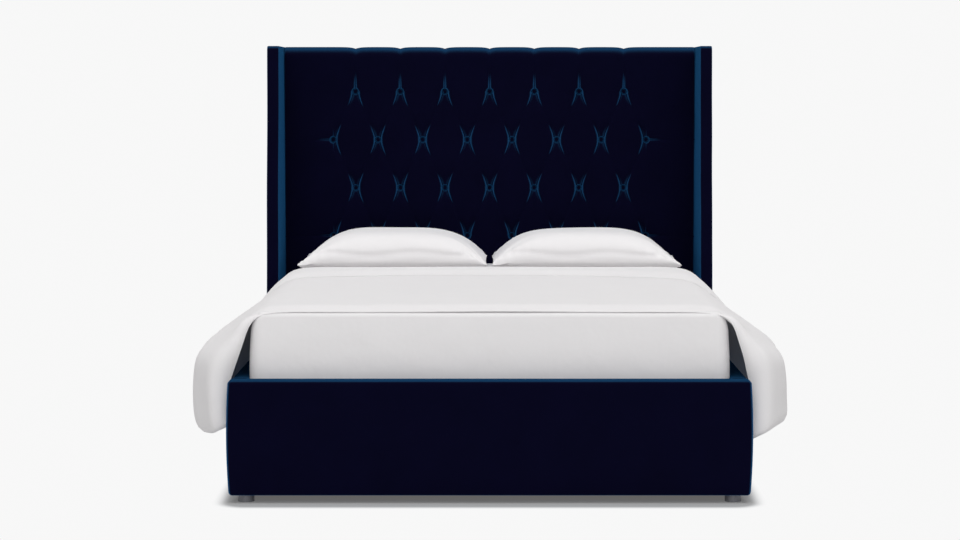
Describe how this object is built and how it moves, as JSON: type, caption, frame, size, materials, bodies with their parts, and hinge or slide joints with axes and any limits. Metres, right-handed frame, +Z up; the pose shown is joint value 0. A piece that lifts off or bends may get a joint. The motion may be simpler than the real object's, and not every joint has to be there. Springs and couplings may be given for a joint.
{
  "type": "wingback bed",
  "caption": "Upholstered wingback bed with a diamond-tufted velvet headboard, padded rails on short round feet, a slatted base and white bedding.",
  "frame": {"origin": "on the floor, under the middle of the bed's overall box", "axes": "+Z up, +Y from the foot towards the headboard, +X to the right of someone standing at the foot"},
  "size_m": [1.9774, 2.22, 1.473],
  "materials": {
    "navy_velvet": "matte",
    "upholstery_foam": "matte",
    "plywood": "matte",
    "pine": "matte",
    "plated_steel": "satin",
    "tufting_tape": "matte",
    "back_lining_cloth": "matte",
    "slat_webbing": "matte",
    "foot_grey_metal": "satin",
    "glide_nylon": "matte",
    "mattress_ticking": "matte",
    "white_cotton": "matte"
  },
  "bodies": {
    "bed": {"centre_leg_nuts": "plated_steel", "centre_leg_plates": "plated_steel", "centre_legs": "pine", "centre_rail": "pine", "centre_rail_hangers": "plated_steel", "corner_feet": "foot_grey_metal", "duvet": "white_cotton", "fitted_sheet": "white_cotton", "footboard_core": "pine", "footboard_cover": "navy_velvet", "footboard_foam": "upholstery_foam", "headboard_back_lining": "back_lining_cloth", "headboard_button_ties": "tufting_tape", "headboard_buttons": "navy_velvet", "headboard_cover": "navy_velvet", "headboard_cross_boards": "pine", "headboard_foam": "upholstery_foam", "headboard_panel": "plywood", "headboard_posts": "pine", "mattress": "mattress_ticking", "pillow_left": "white_cotton", "pillow_right": "white_cotton", "rail_hook_plates": "plated_steel", "rail_slot_plates": "plated_steel", "side_rail_left_core": "pine", "side_rail_left_cover": "navy_velvet", "side_rail_left_foam": "upholstery_foam", "side_rail_right_core": "pine", "side_rail_right_cover": "navy_velvet", "side_rail_right_foam": "upholstery_foam", "slat_cleats": "pine", "slat_straps": "slat_webbing", "slats": "pine", "wing_bolts": "plated_steel", "wing_left_core": "plywood", "wing_left_cover": "navy_velvet", "wing_left_foam": "upholstery_foam", "wing_right_core": "plywood", "wing_right_cover": "navy_velvet", "wing_right_foam": "upholstery_foam"},
    "glide_foot_body": {"glide_foot": "glide_nylon"},
    "glide_middle_body": {"glide_middle": "glide_nylon"},
    "glide_head_body": {"glide_head": "glide_nylon"}
  },
  "joints": [
    {"name": "glide_foot_screw", "type": "slide", "parent": "bed", "child": "glide_foot_body", "axis": [0, 0, -1], "range_m": [0, 0.012]},
    {"name": "glide_middle_screw", "type": "slide", "parent": "bed", "child": "glide_middle_body", "axis": [0, 0, -1], "range_m": [0, 0.012]},
    {"name": "glide_head_screw", "type": "slide", "parent": "bed", "child": "glide_head_body", "axis": [0, 0, -1], "range_m": [0, 0.012]}
  ]
}
